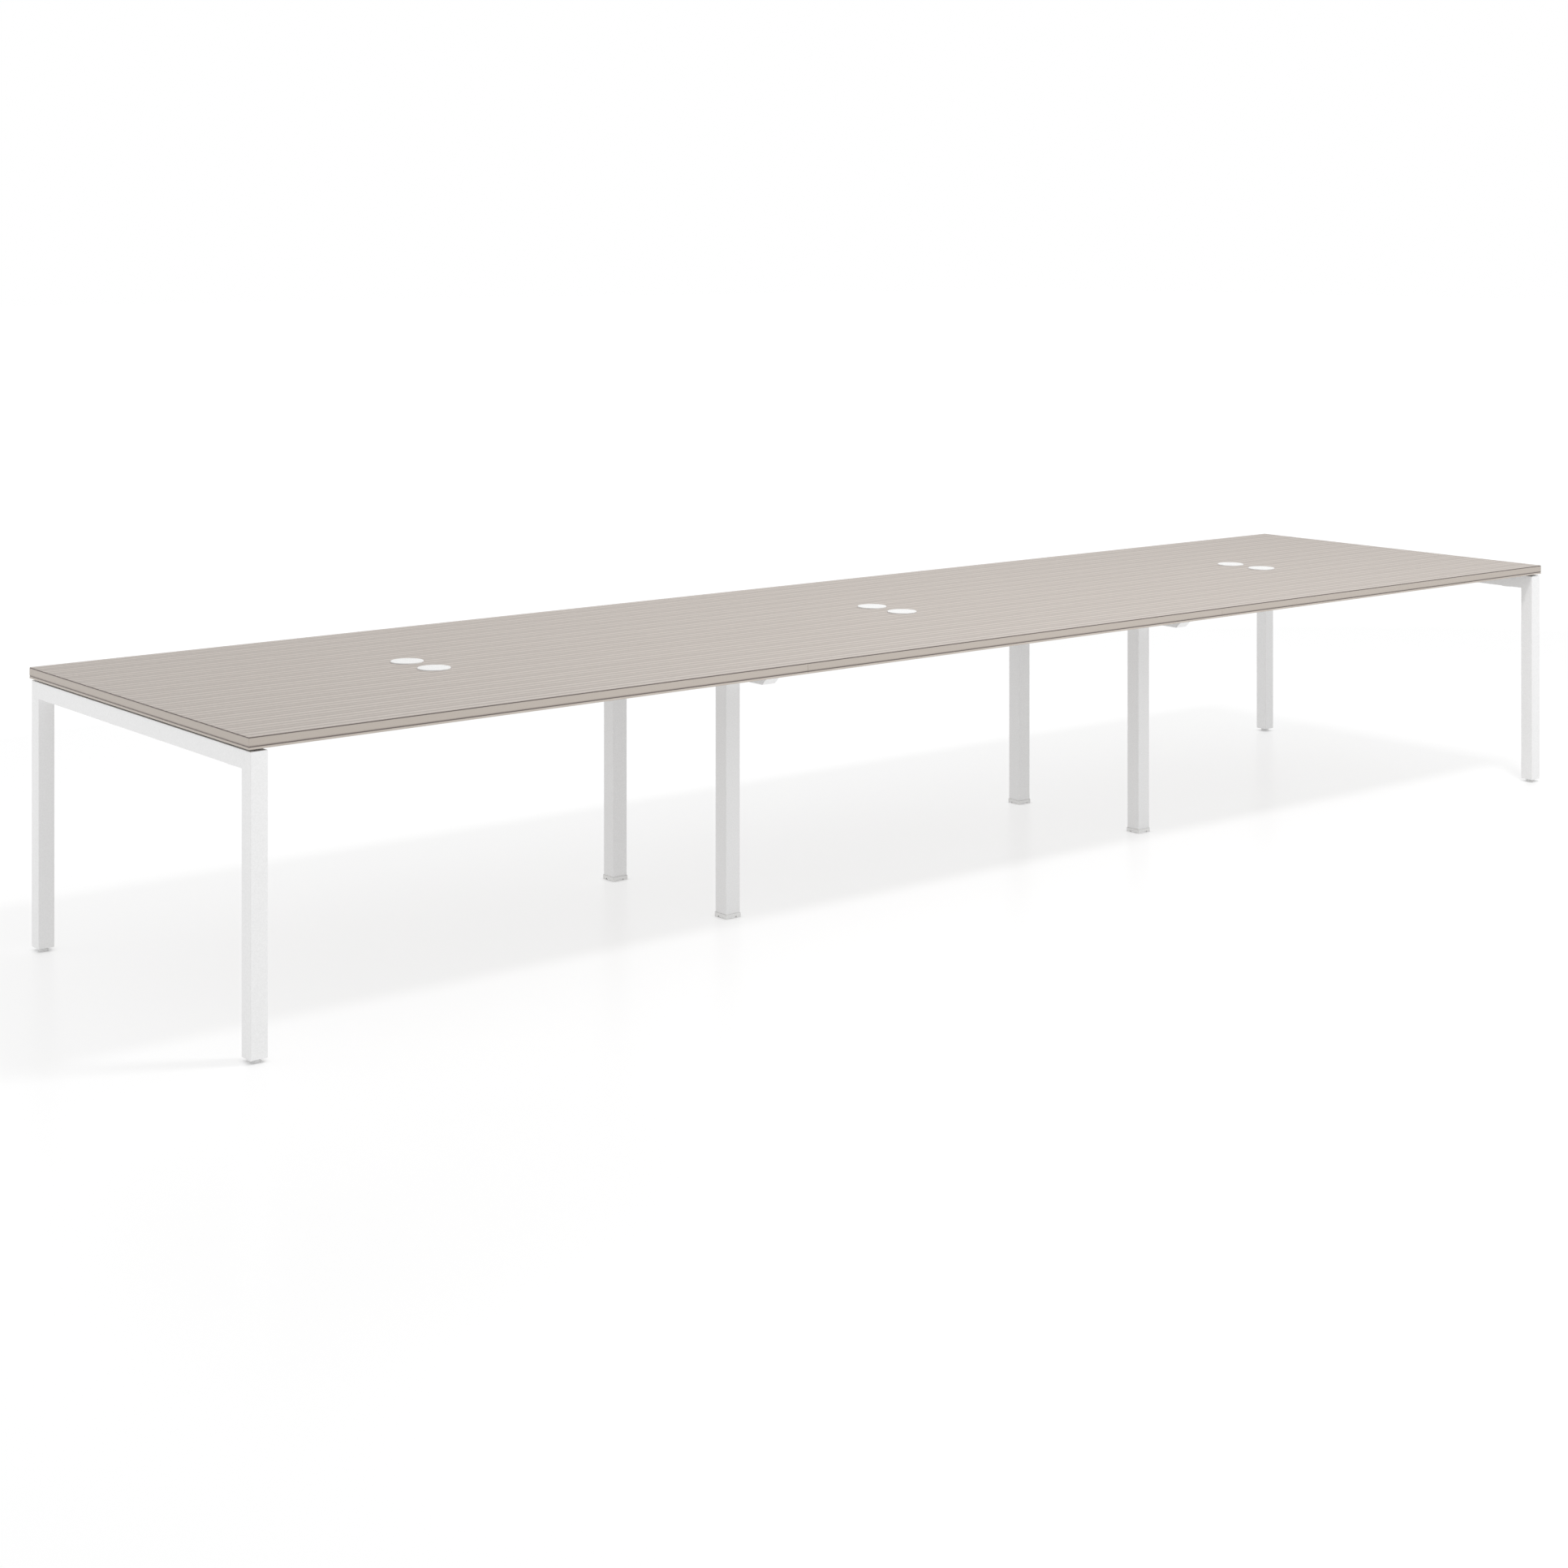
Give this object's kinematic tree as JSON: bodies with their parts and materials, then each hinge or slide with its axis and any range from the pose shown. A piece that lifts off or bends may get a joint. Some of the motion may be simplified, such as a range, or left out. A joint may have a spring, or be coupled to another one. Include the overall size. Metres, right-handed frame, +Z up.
{
  "type": "coworking desk",
  "caption": "Long bench desk for shared offices with striped laminate tops on white square-tube frames, lift-off cable grommets and levelling feet.",
  "frame": {"origin": "centre of the footprint, on the floor", "axes": "+X along the length, +Y across the depth from the front to the rear, +Z up"},
  "size_m": [4.7994, 1.2, 0.7282],
  "materials": {
    "laminate": "matte striped laminate",
    "edge_band": "matte",
    "white_steel": "satin powder coat",
    "white_plastic": "satin moulded",
    "cap_plastic": "fine grained",
    "grey_plastic": "matte moulded",
    "black_plastic": "matte moulded",
    "black_rubber": "matte",
    "black_steel": "matte",
    "zinc_steel": "zinc plated"
  },
  "bodies": {
    "desk": {"worktop_left": "laminate", "edge_band_left": "edge_band", "worktop_middle": "laminate", "edge_band_middle": "edge_band", "worktop_right": "laminate", "edge_band_right": "edge_band", "grommet_liners": "white_plastic", "left_end_beam": "white_steel", "left_mid_beam": "white_steel", "left_mid_beam_end_plates": "white_steel", "left_end_leg_front": "white_steel", "left_mid_leg_front": "white_steel", "left_end_leg_rear": "white_steel", "left_mid_leg_rear": "white_steel", "right_end_beam": "white_steel", "right_mid_beam": "white_steel", "right_mid_beam_end_plates": "white_steel", "right_end_leg_front": "white_steel", "right_mid_leg_front": "white_steel", "right_end_leg_rear": "white_steel", "right_mid_leg_rear": "white_steel", "rail_left_front": "white_steel", "rail_left_rear": "white_steel", "rail_middle_front": "white_steel", "rail_middle_rear": "white_steel", "rail_right_front": "white_steel", "rail_right_rear": "white_steel", "rail_end_plates": "white_steel", "rail_bolts": "zinc_steel", "rail_pads": "black_rubber", "beam_spacers": "black_plastic", "joining_plates": "black_steel", "beam_screws": "zinc_steel", "joining_screws": "zinc_steel", "access_plugs": "white_plastic", "end_leg_inserts": "black_plastic", "mid_leg_inserts": "black_plastic", "foot_cap_left_front": "cap_plastic", "foot_cap_left_rear": "cap_plastic", "foot_cap_right_front": "cap_plastic", "foot_cap_right_rear": "cap_plastic"},
    "glide_left_front": {"glide_left_front": "grey_plastic"},
    "glide_left_rear": {"glide_left_rear": "grey_plastic"},
    "glide_right_front": {"glide_right_front": "grey_plastic"},
    "glide_right_rear": {"glide_right_rear": "grey_plastic"},
    "leveller_left_front": {"leveller_left_front": "grey_plastic"},
    "leveller_left_rear": {"leveller_left_rear": "grey_plastic"},
    "leveller_right_front": {"leveller_right_front": "grey_plastic"},
    "leveller_right_rear": {"leveller_right_rear": "grey_plastic"},
    "grommet_lid_left_front": {"grommet_lid_left_front": "white_plastic"},
    "grommet_lid_left_rear": {"grommet_lid_left_rear": "white_plastic"},
    "grommet_lid_middle_front": {"grommet_lid_middle_front": "white_plastic"},
    "grommet_lid_middle_rear": {"grommet_lid_middle_rear": "white_plastic"},
    "grommet_lid_right_front": {"grommet_lid_right_front": "white_plastic"},
    "grommet_lid_right_rear": {"grommet_lid_right_rear": "white_plastic"}
  },
  "joints": [
    {"name": "glide_left_front_screw", "type": "slide", "parent": "desk", "child": "glide_left_front", "axis": [0, 0, -1], "range_m": [0, 0.012]},
    {"name": "glide_left_rear_screw", "type": "slide", "parent": "desk", "child": "glide_left_rear", "axis": [0, 0, -1], "range_m": [0, 0.012]},
    {"name": "glide_right_front_screw", "type": "slide", "parent": "desk", "child": "glide_right_front", "axis": [0, 0, -1], "range_m": [0, 0.012]},
    {"name": "glide_right_rear_screw", "type": "slide", "parent": "desk", "child": "glide_right_rear", "axis": [0, 0, -1], "range_m": [0, 0.012]},
    {"name": "leveller_left_front_screw", "type": "slide", "parent": "desk", "child": "leveller_left_front", "axis": [0, 0, -1], "range_m": [0, 0.012]},
    {"name": "leveller_left_rear_screw", "type": "slide", "parent": "desk", "child": "leveller_left_rear", "axis": [0, 0, -1], "range_m": [0, 0.012]},
    {"name": "leveller_right_front_screw", "type": "slide", "parent": "desk", "child": "leveller_right_front", "axis": [0, 0, -1], "range_m": [0, 0.012]},
    {"name": "leveller_right_rear_screw", "type": "slide", "parent": "desk", "child": "leveller_right_rear", "axis": [0, 0, -1], "range_m": [0, 0.012]},
    {"name": "grommet_lid_left_front_lift", "type": "slide", "parent": "desk", "child": "grommet_lid_left_front", "axis": [0, 0, 1], "range_m": [0, 0.05]},
    {"name": "grommet_lid_left_rear_lift", "type": "slide", "parent": "desk", "child": "grommet_lid_left_rear", "axis": [0, 0, 1], "range_m": [0, 0.05]},
    {"name": "grommet_lid_middle_front_lift", "type": "slide", "parent": "desk", "child": "grommet_lid_middle_front", "axis": [0, 0, 1], "range_m": [0, 0.05]},
    {"name": "grommet_lid_middle_rear_lift", "type": "slide", "parent": "desk", "child": "grommet_lid_middle_rear", "axis": [0, 0, 1], "range_m": [0, 0.05]},
    {"name": "grommet_lid_right_front_lift", "type": "slide", "parent": "desk", "child": "grommet_lid_right_front", "axis": [0, 0, 1], "range_m": [0, 0.05]},
    {"name": "grommet_lid_right_rear_lift", "type": "slide", "parent": "desk", "child": "grommet_lid_right_rear", "axis": [0, 0, 1], "range_m": [0, 0.05]}
  ]
}
